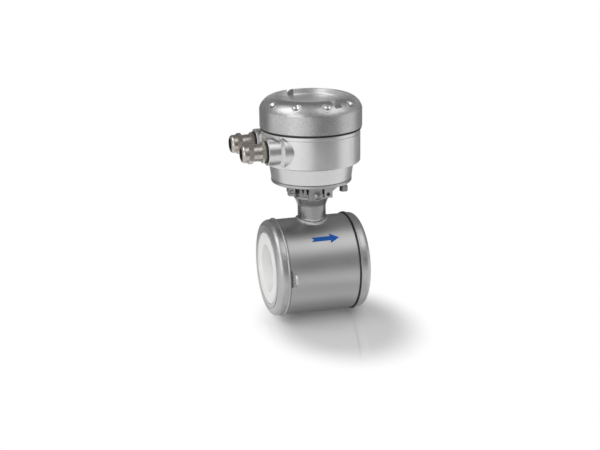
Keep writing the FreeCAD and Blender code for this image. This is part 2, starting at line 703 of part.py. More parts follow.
def earth_plate():
    """Bent plate under the base plate that carries the outer earth screw."""
    foot = PLATE_Z - EARTH_PLATE_H
    overlap = EARTH_RIB_TOP_W / 2
    plate = block(EARTH_PLATE_X0 + overlap, EARTH_PLATE_X1, EARTH_SEAT, EARTH_PLATE_Y, foot, PLATE_Z)
    rib = plate_xz([
        (EARTH_PLATE_X0, foot), (EARTH_PLATE_X0 + EARTH_RIB_W, foot),
        (EARTH_PLATE_X0 + overlap + EARTH_RIB_TOP_W, PLATE_Z), (EARTH_PLATE_X0 + overlap, PLATE_Z),
    ], EARTH_SEAT - EARTH_RIB_T, EARTH_SEAT)
    nut_end = EARTH_PLATE_Y + EARTH_NUT_T
    nut = rod_y(EARTH_PLATE_Y, nut_end, EARTH_NUT_R, EARTH_SCREW_X, EARTH_SCREW_Z)
    plate = plate.fuse([rib, nut])
    return plate.cut(rod_y(EARTH_SEAT, nut_end, EARTH_SCREW_R + WELD_GAP, EARTH_SCREW_X, EARTH_SCREW_Z))


def earth_washer():
    y0 = EARTH_SEAT - EARTH_WASHER_T
    washer = rod_y(y0, EARTH_SEAT, EARTH_HEAD_R + EARTH_WASHER_RIM, EARTH_SCREW_X, EARTH_SCREW_Z)
    return washer.cut(rod_y(y0, EARTH_SEAT, EARTH_SCREW_R + 3 * WELD_GAP, EARTH_SCREW_X, EARTH_SCREW_Z))


def earth_screw():
    """Cross-head screw of the outer earth terminal."""
    seat = EARTH_SEAT - EARTH_WASHER_T
    tip = seat - EARTH_HEAD_H
    shank = rod_y(seat, EARTH_PLATE_Y + EARTH_NUT_T, EARTH_SCREW_R, EARTH_SCREW_X, EARTH_SCREW_Z)
    head = rod_y(tip, seat, EARTH_HEAD_R, EARTH_SCREW_X, EARTH_SCREW_Z)
    ball_r = EARTH_HEAD_R * 1.35
    head = head.common(Part.makeSphere(ball_r, V(EARTH_SCREW_X, tip + ball_r, EARTH_SCREW_Z)))
    arm = CROSS_L / 2
    half = CROSS_W / 2
    cross = block(-arm, arm, tip, tip + CROSS_D, -half, half)
    cross = cross.fuse(block(-half, half, tip, tip + CROSS_D, -arm, arm))
    cross.rotate(V(0, 0, 0), V(0, 1, 0), 35)
    return shank.fuse(head).cut(moved(cross, EARTH_SCREW_X, 0, EARTH_SCREW_Z))


def plug_bolt():
    """Hexagon plug under the rim of the base plate."""
    foot = PLATE_Z - PLUG_H
    head = hexagon_z(foot, foot + PLUG_HEAD_H, PLUG_AF, PLUG_X, PLUG_Y)
    return head.fuse(rod_z(foot + PLUG_HEAD_H, PLATE_Z, PLUG_NECK_R, PLUG_X, PLUG_Y))


def gland_hub():
    """Boss for one cable gland, standing on a wider hub with a sloped face."""
    root = BOSS_FACE_X + BOSS_STRAIGHT
    inside = -BOX_R / 2
    hub = turned_x([
        (BOSS_FACE_X, 0), (BOSS_FACE_X, BOSS_R - 0.5), (BOSS_FACE_X + 0.5, BOSS_R),
        (root, BOSS_R), (root + HUB_SLOPE_L, HUB_R), (inside, HUB_R), (inside, 0),
    ])
    return moved(hub, 0, -GLAND_Y, GLAND_Z)


def box_housing():
    """Cast drum of the connection box with the lid collar and two gland bosses."""
    drum = turned_z([
        (0, PLATE_TOP), (BOX_FOOT_R - 0.9, PLATE_TOP), (BOX_FOOT_R, PLATE_TOP + 0.8),
        (BOX_BAND_R, BOX_STEP_Z - 1.6), (BOX_BAND_R + 1.2, BOX_STEP_Z - 0.8), (BOX_R - 0.8, BOX_STEP_Z),
        (BOX_R, BOX_STEP_Z + 0.8), (BOX_R, BOX_TOP - 0.4), (BOX_R - 0.4, BOX_TOP),
        (COLLAR_R, BOX_TOP), (COLLAR_R, COLLAR_TOP - 0.8), (COLLAR_R - 0.8, COLLAR_TOP),
        (0, COLLAR_TOP),
    ])
    keep = rod_z(BOX_STEP_Z + 0.8, BOX_TOP - 0.4, 2 * BOX_R)
    hub = gland_hub()
    drum = drum.fuse([hub.common(keep), mirrored_y(hub).common(keep)])
    cavity = turned_z([
        (0, BOX_FLOOR_Z), (BOX_WELL_R, BOX_FLOOR_Z), (BOX_WELL_R, BOX_LEDGE_Z),
        (BOX_CAVITY_R, BOX_LEDGE_Z), (BOX_CAVITY_R, COLLAR_TOP + 1), (0, COLLAR_TOP + 1),
    ])
    drum = drum.cut(cavity)
    bore = rod_x(BOSS_FACE_X - 1, -BOX_CAVITY_R / 2, GLAND_THREAD_R + WELD_GAP, -GLAND_Y, GLAND_Z)
    drum = drum.cut([bore, mirrored_y(bore), rod_z(PLATE_TOP - 1, BOX_FLOOR_Z + 1, LEAD_HOLE_R)])
    hole = rod_z(BOX_LEDGE_Z - BOARD_SCREW_L, BOX_LEDGE_Z, BOARD_SCREW_R + WELD_GAP, BOARD_SCREW_RING, 0)
    return drum.cut([turned_about_z(hole, angle) for angle in BOARD_SCREW_ANGLES])


def lid_seal():
    """O-ring that shows as a dark line under the lid."""
    inner = COLLAR_R + LOOSE_GAP
    edge = 0.35
    return turned_z([
        (inner, BOX_TOP), (SEAL_OUT_R - edge, BOX_TOP),
        (SEAL_OUT_R - edge, LID_BOTTOM, SEAL_OUT_R, (BOX_TOP + LID_BOTTOM) / 2),
        (inner, LID_BOTTOM),
    ])


def lid():
    """Screw lid with a round recess, two wrench slots and grip dimples on its shoulder."""
    middle = CREASE_TURN + (math.pi / 2 - CREASE_TURN) / 2
    middle_r = CREST_R + LID_SHOULDER_R * math.cos(middle)
    middle_z = SHOULDER_Z + LID_SHOULDER_R * math.sin(middle)
    rim = RECESS_R + 0.7
    rim_z = SHOULDER_Z + math.sqrt(LID_SHOULDER_R ** 2 - (rim - CREST_R) ** 2)
    cover = turned_z([
        (LID_THREAD_R, LID_BOTTOM), (LID_R - 0.5, LID_BOTTOM), (LID_R, LID_BOTTOM + 0.5),
        (LID_R, CREASE_Z),
        (rim, rim_z, middle_r, middle_z),
        (RECESS_R + 0.15, rim_z - 0.55),
        (RECESS_R, RECESS_Z + 0.8), (RECESS_R - 0.8, RECESS_Z),
        (0, RECESS_Z), (0, LID_ROOF_Z), (LID_CAVITY_R - 3, LID_ROOF_Z),
        (LID_CAVITY_R, LID_ROOF_Z - 3), (LID_CAVITY_R, COLLAR_TOP + 1.4),
        (LID_THREAD_R, COLLAR_TOP + 0.6),
    ])
    turn = math.radians(DIMPLE_ANGLE)
    cuts = []
    for radius, depth in ((DIMPLE_R, DIMPLE_DEPTH), (DIMPLE_RIM_R, DIMPLE_RIM_DEPTH)):
        ball_r = (radius ** 2 + depth ** 2) / (2 * depth)
        reach = LID_SHOULDER_R - depth + ball_r
        middle = V(CREST_R + reach * math.sin(turn), 0, SHOULDER_Z + reach * math.cos(turn))
        ball = Part.makeSphere(ball_r, middle)
        for i in range(DIMPLE_COUNT):
            cuts.append(turned_about_z(ball, DIMPLE_FIRST + i * 360.0 / DIMPLE_COUNT))
    half = WRENCH_SLOT_W / 2
    slot = block(RECESS_R - half, WRENCH_SLOT_END, -half, half, RECESS_Z, LID_TOP + 1)
    cuts.append(turned_about_z(slot, WRENCH_SLOT_ANGLE))
    cuts.append(turned_about_z(slot, WRENCH_SLOT_ANGLE + 180))
    return cover.cut(cuts)


# ---------------------------------------------------------------- cable glands
def gland_washer_front():
    """Black sealing washer between the boss and the gland collar."""
    washer = turned_x([
        (WASHER_X, GLAND_THREAD_R + LOOSE_GAP), (WASHER_X, GLAND_WASHER_R - 0.3),
        (WASHER_X + 0.3, GLAND_WASHER_R), (BOSS_FACE_X - 0.3, GLAND_WASHER_R),
        (BOSS_FACE_X, GLAND_WASHER_R - 0.3), (BOSS_FACE_X, GLAND_THREAD_R + LOOSE_GAP),
    ])
    return moved(washer, 0, -GLAND_Y, GLAND_Z)


def gland_body_front():
    """Nickel-plated gland body: entry thread, hexagon collar, round barrel and nut thread."""
    core = turned_x([
        (BOSS_FACE_X + GLAND_THREAD_L, GLAND_BORE_R), (GNECK_X, GLAND_BORE_R),
        (GNECK_X, GLAND_NECK_R - 0.4), (GNECK_X + 0.4, GLAND_NECK_R), (GBODY_X, GLAND_NECK_R),
        (GBODY_X, GLAND_BODY_R - 0.3), (GBODY_X + 0.3, GLAND_BODY_R), (COLLAR_X + 0.1, GLAND_BODY_R),
        (COLLAR_X + 0.1, GLAND_BODY_R), (WASHER_X, GLAND_BODY_R), (WASHER_X, GLAND_THREAD_R),
        (BOSS_FACE_X + GLAND_THREAD_L - 0.6, GLAND_THREAD_R),
        (BOSS_FACE_X + GLAND_THREAD_L, GLAND_THREAD_R - 0.6),
    ])
    collar = hexagon_x(COLLAR_X, WASHER_X, GLAND_COLLAR_AF)
    body = core.fuse(collar)
    seat = rod_x(GNECK_X - 1, GNECK_X + 3.2, GLAND_NECK_R - 1.0)
    body = body.cut(rod_x(GNECK_X - 1, BOSS_FACE_X + 2 * GLAND_THREAD_L, GLAND_BORE_R)).cut(seat)
    return moved(body, 0, -GLAND_Y, GLAND_Z)


def gland_cage_front():
    """Clamping cage between the gland body and the dome nut."""
    rear = GNECK_X + 3.2
    outer = GLAND_NECK_R - 1.0 - SLIDE_PLAY
    front = DOME_X + 2.6
    cage = turned_x([
        (rear, outer - CAGE_T), (rear, outer), (front + 1.2, outer), (front, outer - 1.2),
        (front, outer - 1.2 - CAGE_T), (front + 1.2, outer - CAGE_T),
    ])
    cuts = []
    for i in range(4):
        finger = block(front - 1, GNECK_X - 0.5, -0.4, 0.4, 0, outer + 2)
        finger.rotate(V(0, 0, 0), V(1, 0, 0), 45 + 90 * i)
        cuts.append(finger)
    return moved(cage.cut(cuts), 0, -GLAND_Y, GLAND_Z)


def gland_insert_front():
    """Rubber sealing insert that grips the cable."""
    rear = GNECK_X + 3.2
    outer = GLAND_NECK_R - 1.0 - SLIDE_PLAY - CAGE_T
    front = DOME_X + 3.8
    insert = turned_x([
        (rear, INSERT_HOLE_R), (rear, outer), (front, outer), (front, INSERT_HOLE_R + 0.8),
        (front + 0.8, INSERT_HOLE_R),
    ])
    return moved(insert, 0, -GLAND_Y, GLAND_Z)


def gland_nut_front():
    """Dome nut: rounded end with the cable hole, hexagon and round skirt."""
    dome_r = NUT_AF / 2
    outer = turned_x([
        (DOME_X, NUT_HOLE_R), (DOME_X, dome_r - 3.0),
        (DOME_X + 3.4, dome_r - 0.1, DOME_X + 1.05, dome_r - 1.0),
        (HEX_X, dome_r - 0.1), (HEX_X, NUT_HOLE_R),
    ])
    hexagon = hexagon_x(HEX_X, SKIRT_X, NUT_AF + 0.4)
    skirt = rod_x(SKIRT_X, GBODY_X, NUT_SKIRT_R)
    nut = outer.fuse([hexagon, skirt])
    hollow = turned_x([
        (DOME_X - 1, 0), (DOME_X - 1, NUT_HOLE_R), (DOME_X + 1.6, NUT_HOLE_R),
        (DOME_X + 2.2, NUT_HOLE_R + 0.5), (GNECK_X - 0.6, NUT_HOLE_R + 0.8),
        (GNECK_X - 0.6, GLAND_NECK_R + THREAD_PLAY), (GBODY_X + 1, GLAND_NECK_R + THREAD_PLAY),
        (GBODY_X + 1, 0),
    ])
    return moved(nut.cut(hollow), 0, -GLAND_Y, GLAND_Z)


# ---------------------------------------------------------------- terminal board
def terminal_board():
    """Round board on the ledge of the box."""
    board = rod_z(BOX_LEDGE_Z, BOARD_TOP, BOARD_R)
    hole = rod_z(BOX_LEDGE_Z, BOARD_TOP, BOARD_SCREW_R + 2 * WELD_GAP, BOARD_SCREW_RING, 0)
    cuts = [turned_about_z(hole, angle) for angle in BOARD_SCREW_ANGLES]
    cuts.append(rod_z(BOX_LEDGE_Z, BOARD_TOP, LEAD_R + LOOSE_GAP, LEAD_X, 0))
    return board.cut(cuts)


def slotted_head(z0, z1, radius, x, y):
    """Round screw head with a driver slot across its top."""
    head = rod_z(z0, z1, radius, x, y)
    half = DRIVER_SLOT_W / 2
    return head.cut(block(x - radius, x + radius, y - half, y + half, z1 - DRIVER_SLOT_D, z1))


def board_screws():
    """Three pan-head screws that hold the board."""
    shank = rod_z(BOX_LEDGE_Z - BOARD_SCREW_L, BOARD_TOP, BOARD_SCREW_R, BOARD_SCREW_RING, 0)
    top = BOARD_TOP + BOARD_SCREW_HEAD_H
    screw = shank.fuse(slotted_head(BOARD_TOP, top, BOARD_SCREW_HEAD_R, BOARD_SCREW_RING, 0))
    return Part.makeCompound([turned_about_z(screw, angle) for angle in BOARD_SCREW_ANGLES])


def pole_x(index):
    return BLOCK_X + BLOCK_L * ((index + 0.5) / POLES - 0.5)


def terminal_block(side):
    """Row of screw terminals with a wire hole in front of each pole."""
    x0 = BLOCK_X - BLOCK_L / 2
    x1 = BLOCK_X + BLOCK_L / 2
    inner = side * (BLOCK_Y - BLOCK_W / 2)
    outer = side * (BLOCK_Y + BLOCK_W / 2)
    top = BOARD_TOP + BLOCK_H
    profile = [
        (inner, BOARD_TOP), (outer, BOARD_TOP), (outer, top - BLOCK_BEVEL),
        (outer - side * BLOCK_BEVEL, top), (inner, top),
    ]
    body = path_face(profile, lambda y, z: V(x0, y, z)).extrude(V(x1 - x0, 0, 0))
    deep = outer - side * WIRE_HOLE_D
    sill = BOARD_TOP + WIRE_HOLE_Z
    cuts = []
    for i in range(POLES):
        x = pole_x(i)
        y = side * (BLOCK_Y - POLE_SCREW_INSET)
        cuts.append(rod_z(top - POLE_SCREW_SINK, top, POLE_SCREW_R + LOOSE_GAP, x, y))
        cuts.append(block(x - WIRE_HOLE_W / 2, x + WIRE_HOLE_W / 2, min(deep, outer), max(deep, outer),
                          sill, sill + WIRE_HOLE_H))
    return body.cut(cuts)


def terminal_block_front():
    return terminal_block(-1)


def terminal_block_back():
    return terminal_block(1)


def terminal_screws(side):
    """Clamp screws of one terminal row."""
    seat = BOARD_TOP + BLOCK_H - POLE_SCREW_SINK
    y = side * (BLOCK_Y - POLE_SCREW_INSET)
    screws = []
    for i in range(POLES):
        screws.append(slotted_head(seat, seat + POLE_SCREW_H, POLE_SCREW_R, pole_x(i), y))
    return Part.makeCompound(screws)


def terminal_screws_front():
    return terminal_screws(-1)


def terminal_screws_back():
    return terminal_screws(1)


def lead_plug():
    """Plug that brings the leads from the neck onto the board."""
    half_l = LEAD_PLUG_L / 2
    half_w = LEAD_PLUG_W / 2
    return block(LEAD_X - half_l, LEAD_X + half_l, -half_w, half_w, BOARD_TOP, BOARD_TOP + LEAD_PLUG_H)


def inner_earth():
    """Earth terminal inside the box: a square post with a clamp screw."""
    half = EARTH_POST_W / 2
    top = BOARD_TOP + EARTH_POST_H
    post = block(EARTH_POST_X, EARTH_POST_X + EARTH_POST_W, -half, half, BOARD_TOP, top)
    return post.fuse(slotted_head(top, top + EARTH_POST_HEAD_H, EARTH_POST_HEAD_R, EARTH_POST_X + half, 0))


# ---------------------------------------------------------------- export
NODES = {
    "measuring_tube": measuring_tube,
    "electrode_front": electrode_front,
    "electrode_back": electrode_back,
    "tube_seal_inlet": tube_seal_inlet,
    "tube_seal_outlet": tube_seal_outlet,
    "end_ring_inlet": end_ring_inlet,
    "end_ring_outlet": end_ring_outlet,
    "ring_joint_seal_inlet": ring_joint_seal_inlet,
    "ring_joint_seal_outlet": ring_joint_seal_outlet,
    "sensor_shell": sensor_shell,
    "yoke_ring": yoke_ring,
    "pole_upper": pole_upper,
    "pole_lower": pole_lower,
    "coil_upper": coil_upper,
    "coil_lower": coil_lower,
    "neck_tube": neck_tube,
    "neck_potting": neck_potting,
    "neck_flange": neck_flange,
    "lead_bundle": lead_bundle,
    "bonding_lug": bonding_lug,
    "base_plate": base_plate,
    "clamp_ring": clamp_ring,
    "clamp_screw": clamp_screw,
    "lug_screw": lug_screw,
    "fork_bracket": fork_bracket,
    "earth_plate": earth_plate,
    "earth_washer": earth_washer,
    "earth_screw": earth_screw,
    "plug_bolt": plug_bolt,
    "box_housing": box_housing,
    "lid_seal": lid_seal,
    "lid": lid,
    "gland_washer_front": gland_washer_front,
    "gland_body_front": gland_body_front,
    "gland_cage_front": gland_cage_front,
    "gland_insert_front": gland_insert_front,
    "gland_nut_front": gland_nut_front,
    "gland_washer_back": lambda: mirrored_y(gland_washer_front()),
    "gland_body_back": lambda: mirrored_y(gland_body_front()),
    "gland_cage_back": lambda: mirrored_y(gland_cage_front()),
    "gland_insert_back": lambda: mirrored_y(gland_insert_front()),
    "gland_nut_back": lambda: mirrored_y(gland_nut_front()),
    "terminal_board": terminal_board,
    "board_screws": board_screws,
    "terminal_block_front": terminal_block_front,
    "terminal_block_back": terminal_block_back,
    "terminal_screws_front": terminal_screws_front,
    "terminal_screws_back": terminal_screws_back,
    "lead_plug": lead_plug,
    "inner_earth": inner_earth,
}

os.makedirs("parts", exist_ok=True)
for name, build in NODES.items():
    shape = build()
    if not shape.isValid():
        raise ValueError(name + " is not a valid shape")
    shape.exportStep("parts/" + name + ".step")
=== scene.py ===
# %% [markdown]
# # A wafer flow sensor with a screw-lid connection box
# A short steel drum with a white ceramic tube is clamped between two pipe flanges. A neck
# on top of it carries a round connection box with a screw lid and two cable glands.
# The CAD model gives every rigid piece in its true size, so this script doesn't model the
# body again. It gives the finishes, the printed arrow, two soft rubber beads, drawn thick as
# painted shade in dark joints, the light and the camera.

# %% Load the frame
import json
import math

import bmesh
import bpy
import numpy as np
from mathutils import Matrix, Vector


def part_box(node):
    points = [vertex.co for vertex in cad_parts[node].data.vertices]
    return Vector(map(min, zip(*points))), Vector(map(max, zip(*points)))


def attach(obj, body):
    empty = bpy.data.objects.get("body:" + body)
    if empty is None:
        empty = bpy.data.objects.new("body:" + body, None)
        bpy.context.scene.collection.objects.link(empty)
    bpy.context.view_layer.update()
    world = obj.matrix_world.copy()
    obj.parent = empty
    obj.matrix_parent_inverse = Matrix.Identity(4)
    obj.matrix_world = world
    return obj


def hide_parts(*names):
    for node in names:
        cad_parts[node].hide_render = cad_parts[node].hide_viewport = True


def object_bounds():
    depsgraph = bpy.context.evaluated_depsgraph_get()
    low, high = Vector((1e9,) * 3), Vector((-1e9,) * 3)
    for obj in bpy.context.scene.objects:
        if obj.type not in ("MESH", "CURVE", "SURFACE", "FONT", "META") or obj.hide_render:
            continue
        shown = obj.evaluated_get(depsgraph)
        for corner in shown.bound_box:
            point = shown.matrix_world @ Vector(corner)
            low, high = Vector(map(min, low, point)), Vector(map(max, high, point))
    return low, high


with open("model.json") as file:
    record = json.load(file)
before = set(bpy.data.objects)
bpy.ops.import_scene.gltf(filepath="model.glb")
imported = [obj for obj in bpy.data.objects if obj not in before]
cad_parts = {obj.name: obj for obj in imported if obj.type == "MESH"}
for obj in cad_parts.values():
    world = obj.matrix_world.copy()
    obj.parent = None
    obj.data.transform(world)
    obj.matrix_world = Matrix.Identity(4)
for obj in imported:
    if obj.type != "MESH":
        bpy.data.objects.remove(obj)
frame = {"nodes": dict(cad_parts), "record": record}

cad_low, cad_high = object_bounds()
nodes = frame["nodes"]
scene = bpy.context.scene
print("CAD box", cad_low, cad_high, "with", len(nodes), "nodes")

# %% [markdown]
# ## Shader sums in plain Python
# A pattern is a sum of waves, noises and distances. Wired by hand, that is a page of Math
# nodes. Here one small class wraps an output socket, and each operator adds one Math node,
# so `0.3 + 0.1 * noise` reads as what it is. Only the operators in use are written out.

# %% A socket that can be calculated with


def plug(tree, socket, value):
    """Link a Sock to an input socket, or write a plain value into it."""
    if isinstance(value, Sock):
        tree.links.new(value.socket, socket)
    elif value is not None:
        socket.default_value = value


class Sock:
    """One output socket. Each operator adds a Math node and gives back its output."""

    def __init__(self, tree, socket):
        self.tree = tree
        self.socket = socket

    def math(self, operation, first, second=None):
        made = self.tree.nodes.new("ShaderNodeMath")
        made.operation = operation
        plug(self.tree, made.inputs[0], first)
        plug(self.tree, made.inputs[1], second)
        return Sock(self.tree, made.outputs[0])

    def __add__(self, other):
        return self.math("ADD", self, other)

    def __radd__(self, other):
        return self.math("ADD", other, self)

    def __sub__(self, other):
        return self.math("SUBTRACT", self, other)

    def __rsub__(self, other):
        return self.math("SUBTRACT", other, self)

    def __mul__(self, other):
        return self.math("MULTIPLY", self, other)

    def __rmul__(self, other):
        return self.math("MULTIPLY", other, self)

    def __truediv__(self, other):
        return self.math("DIVIDE", self, other)

    def __pow__(self, other):
        return self.math("POWER", self, other)


print("a Sock knows", [name for name in vars(Sock) if callable(vars(Sock)[name])])

# %% [markdown]
# ## One helper for every finish
# `Finish` opens a material with a Principled shader. Its method `node` adds any other node:
# first the settings, such as a Math operation or the stops of a ramp, then the sockets, in
# order or by name. The other methods are short names for what the finishes use most.

# %% Finish


class Finish:
    """A material with its Principled shader, and short ways to add nodes to it."""

    def __init__(self, name):
        self.material = bpy.data.materials.new(name)
        self.material.use_nodes = True
        self.tree = self.material.node_tree
        self.shader = self.tree.nodes["Principled BSDF"]

    def node(self, kind, settings=None, sockets=(), output=0, **named):
        """Add a node: settings first, then sockets in order, then sockets by name."""
        made = self.tree.nodes.new("ShaderNode" + kind)
        for key, value in (settings or {}).items():
            setattr(made, key, value)
        for socket, value in zip(made.inputs, sockets):
            plug(self.tree, socket, value)
        for key, value in named.items():
            plug(self.tree, made.inputs[key.replace("_", " ")], value)
        return Sock(self.tree, made.outputs[output])

    def where(self, scale=(1, 1, 1), centre=(0, 0, 0)):
        """Object coordinates in metres, moved to a centre and scaled by a Mapping node."""
        place = self.node("TexCoord", output="Object")
        shift = tuple(-c * s for c, s in zip(centre, scale))
        return self.node("Mapping", Vector=place, Location=shift, Scale=scale)

    def parts(self, vector):
        """The x, y and z of a vector."""
        made = self.node("SeparateXYZ", sockets=(vector,)).socket.node
        return [Sock(self.tree, made.outputs[i]) for i in range(3)]

    def noise(self, vector, scale, detail=2.0, rough=0.5):
        """Cloudy noise from 0 to 1, about `scale` waves to the metre."""
        return self.node("TexNoise", Vector=vector, Scale=scale, Detail=detail, Roughness=rough)

    def blend(self, factor, first, second):
        """Colour that goes from the first to the second as the factor goes from 0 to 1."""
        made = self.node("Mix", {"data_type": "RGBA"}).socket.node
        for index, value in ((0, factor), (6, first), (7, second)):
            plug(self.tree, made.inputs[index], value)
        return Sock(self.tree, made.outputs[2])

    def ease(self, value, low, high):
        """0 below low, 1 above high, and a smooth step between them."""
        return self.node("MapRange", {"interpolation_type": "SMOOTHSTEP"}, Value=value,
                         From_Min=low, From_Max=high)

    def bump(self, height, strength, distance):
        """A normal tilted by the slope of a height, which is `distance` metres for each 1."""
        return self.node("Bump", Height=height, Strength=strength, Distance=distance)

    def done(self, **inputs):
        """Write values or links into the Principled shader and give back the material."""
        for key, value in inputs.items():
            plug(self.tree, self.shader.inputs[key.replace("_", " ")], value)
        return self.material


def grey(level, warm=0.0):
    """A grey, with red raised and blue lowered by the share `warm`."""
    return (level * (1 + warm), level, level * (1 - warm), 1.0)


print("a Finish knows", [name for name in vars(Finish) if not name.startswith("_")])

# %% [markdown]
# ## Cast steel, blasted with fine beads
# The metal parts above the drum are stainless castings. After turning they are blasted with
# glass beads, which leaves thousands of tiny dents: the metal still reflects its
# surroundings, but spread out, with a fine sparkle. Noise about a millimetre wide in the
# bump, the grey and the roughness gives the sparkle, and a slow cloud keeps a large face
# from looking painted. The small parts under the box use it as it is.

# %% Blasted steel
SLOW_CLOUD = 45.0
FINE_RELIEF = 0.0001


def blasted_steel(name, level, rough, grain=1100.0, spread=0.05):
    """Metal of one grey `level`, give or take the share `spread`. A grain of `grain` waves to
    the metre and a slow cloud vary its grey and roughness, and the grain its slope."""
    f = Finish(name)
    place = f.where()
    dents = f.noise(place, grain, 3.0, 0.7)
    cloud = f.noise(place, SLOW_CLOUD, 4.0, 0.6)
    shade = 0.5 + 0.6 * (cloud - 0.5) + 1.1 * (dents - 0.5)
    colour = f.blend(shade, grey(level * (1 - spread)), grey(level * (1 + spread)))
    roughness = rough + 0.10 * (cloud - 0.5) + 0.16 * (dents - 0.5)
    return f.done(Base_Color=colour, Metallic=1.0, Roughness=roughness,
                  Normal=f.bump(dents, 0.5, FINE_RELIEF))


# The castings under the box get lower greys, painted shade for the shadow of the box over them,
# and the clamp ring is nearly black, painted shade in the gaps behind the lugs.
plate_shade_steel = blasted_steel("small_cast_painted_shade", 0.34, 0.33, spread=0.10)
base_shade_steel = blasted_steel("base_plate_painted_shade", 0.46, 0.36, spread=0.12)
clamp_shade_steel = blasted_steel("clamp_painted_shade", 0.04, 0.40, spread=0.12)
flange_shade_steel = blasted_steel("neck_flange_painted_shade", 0.32, 0.34, spread=0.10)
# The lug's higher grey is painted light.
lug_light_steel = blasted_steel("lug_painted_light", 0.56, 0.34, spread=0.10)
print("castings", plate_shade_steel.name, base_shade_steel.name, clamp_shade_steel.name, flange_shade_steel.name,
      lug_light_steel.name)

# %% [markdown]
# ## The lid, blasted first and milled after
# Ten shallow cups around the shoulder give the hand a grip. They are milled after the
# blasting, so they are smooth inside, with a fine ridge left at the edge of the cut, and
# their grey is raised there as a painted highlight. All ten are alike, so the turn around Z
# is folded into one tenth of a circle, and one distance from the centre of a cup then serves
# for all of them. The centre and the slopes below are in metres: the cup fades out between
# two distances, and the ridge rises and falls between three. The recess in the top is
# painted a paler grey than the blasted shoulder, as painted light.

# %% Lid steel
CUP_COUNT = 10
CUP_FIRST = math.radians(-87.5)
CUP_CENTRE_RADIUS, CUP_CENTRE_Z = 0.0492, 0.1825
CUP_FADE = (0.0037, 0.0048)
RIDGE_RISE = (0.0042, 0.0050)
RIDGE_FALL = (0.0050, 0.0060)
RECESS_EDGE = (0.0383, 0.0387)


def milled_lid(name, level, rough):
    """Blasted metal, smoother inside the cups, with a painted highlight raising their grey, and
    a paler grey painted in the recess as painted light. The folded turn times the radius is the
    way along the circle, and with the radius and the height it gives the distance."""
    f = Finish(name)
    place = f.where()
    x, y, z = f.parts(place)
    grain = f.noise(place, 620.0, 3.0, 0.8)
    cloud = f.noise(place, 60.0, 4.0, 0.6)
    step = math.tau / CUP_COUNT
    turn = f.node("Math", {"operation": "ARCTAN2"}, sockets=(y, x)) - (CUP_FIRST - step / 2)
    folded = f.node("Math", {"operation": "FLOORED_MODULO"}, sockets=(turn, step)) - step / 2
    radius = (x * x + y * y) ** 0.5
    way, out, rise = folded * radius, radius - CUP_CENTRE_RADIUS, z - CUP_CENTRE_Z
    distance = (way * way + out * out + rise * rise) ** 0.5
    cup = 1.0 - f.ease(distance, *CUP_FADE)
    ridge = f.ease(distance, *RIDGE_RISE) * (1.0 - f.ease(distance, *RIDGE_FALL))
    # Inside the cups the grey is raised, a painted highlight.
    shade = 0.5 + 0.3 * (cloud - 0.5) + 1.5 * (grain - 0.5) + 0.35 * cup
    colour = f.blend(shade, grey(level * 0.66), grey(level * 1.34))
    # The recess is blended towards a pale grey, painted light.
    turned = 1.0 - f.ease(radius, *RECESS_EDGE)
    colour = f.blend(0.7 * turned, colour, grey(0.80))
    roughness = rough + 0.12 * (cloud - 0.5) + 0.20 * (grain - 0.5) - 0.14 * cup
    height = grain * (1.0 - 0.8 * cup) + 1.2 * ridge
    return f.done(Base_Color=colour, Metallic=1.0, Roughness=roughness,
                  Normal=f.bump(height, 0.8, 0.00014))


lid_steel = milled_lid("lid_blasted_steel", 0.50, 0.35)
print("lid", lid_steel.name, "with", CUP_COUNT, "cups")

# %% [markdown]
# ## The box, a casting with a turned groove
# The drum of the box comes out of the mould with a faint upright line, where the two halves
# of the mould met, and most of it is blasted away. A fine groove is turned around it just
# below the lid. Both are hair lines, so they stay in the finish: a dark line of height for
# the groove, whose grey is also painted dark as painted shade, and a soft one of angle for
# the mould.

# %% Box steel
GROOVE_Z = 0.1480
GROOVE_FADE = (0.00008, 0.00040)
WALL_INNER_EDGE = (0.0515, 0.0518)
WALL_OUTER_EDGE = (0.0535, 0.0538)
MOULD_ANGLE = math.radians(-55.0)
MOULD_FADE = (0.0001, 0.0007)
MOULD_LOW_END = (0.1225, 0.1245)
MOULD_HIGH_END = (0.1445, 0.1465)


def cast_box(name, level, rough):
    """Blasted metal with a groove around Z, painted dark as painted shade where |z - groove| is
    small, and a mould line, where the way from its angle is small. Both count only on the
    drum's own wall."""
    f = Finish(name)
    place = f.where()
    x, y, z = f.parts(place)
    grain = f.noise(place, 700.0, 3.0, 0.75)
    cloud = f.noise(place, SLOW_CLOUD, 4.0, 0.6)
    radius = (x * x + y * y) ** 0.5
    wall = f.ease(radius, *WALL_INNER_EDGE) * (1.0 - f.ease(radius, *WALL_OUTER_EDGE))
    off = f.node("Math", {"operation": "ABSOLUTE"}, sockets=(z - GROOVE_Z,))
    groove = wall * (1.0 - f.ease(off, *GROOVE_FADE))
    turn = f.node("Math", {"operation": "ARCTAN2"}, sockets=(y, x)) - MOULD_ANGLE
    beside = f.node("Math", {"operation": "ABSOLUTE"}, sockets=(turn * radius,))
    upright = f.ease(z, *MOULD_LOW_END) * (1.0 - f.ease(z, *MOULD_HIGH_END))
    mould = wall * upright * (1.0 - f.ease(beside, *MOULD_FADE))
    shade = 0.5 + 0.6 * (cloud - 0.5) + 1.1 * (grain - 0.5)
    metal = f.blend(shade, grey(level * 0.87), grey(level * 1.13))
    # The groove's grey goes most of the way to near black, painted shade; the mould line darkens
    # it a little.
    colour = f.blend(0.55 * groove + 0.22 * mould, metal, grey(0.05))
    roughness = rough + 0.10 * (cloud - 0.5) + 0.16 * (grain - 0.5)
    height = grain - 4.0 * groove + 1.5 * mould
    return f.done(Base_Color=colour, Metallic=1.0, Roughness=roughness,
                  Normal=f.bump(height, 0.35, FINE_RELIEF))


box_steel = cast_box("box_blasted_steel", 0.67, 0.35)
print("box", box_steel.name, "with its groove at z", GROOVE_Z)

